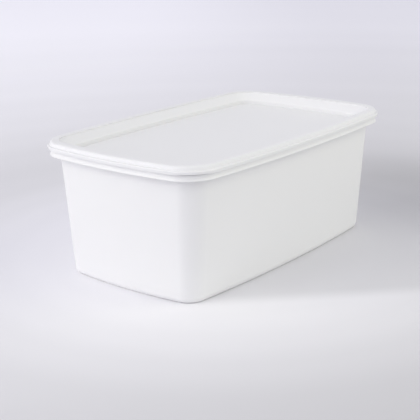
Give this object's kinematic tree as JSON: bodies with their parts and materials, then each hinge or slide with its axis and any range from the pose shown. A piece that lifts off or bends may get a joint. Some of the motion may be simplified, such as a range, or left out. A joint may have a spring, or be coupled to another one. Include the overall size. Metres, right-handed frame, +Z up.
{
  "type": "freezer container",
  "caption": "Shut rectangular white plastic freezer tub with tapered bowed sides, a collar below the rim and a press-on lid with a recessed panel.",
  "frame": {"origin": "centre of the base, on the surface that the tub stands on", "axes": "+Z up through the lid, +X along the length, +Y across the width"},
  "size_m": [0.2822, 0.1744, 0.1105],
  "materials": {
    "tub_plastic": "satin moulded polypropylene",
    "lid_plastic": "satin moulded polypropylene, slightly smoother panel"
  },
  "bodies": {
    "root": {"tub": "tub_plastic", "lid": "lid_plastic"}
  },
  "joints": []
}
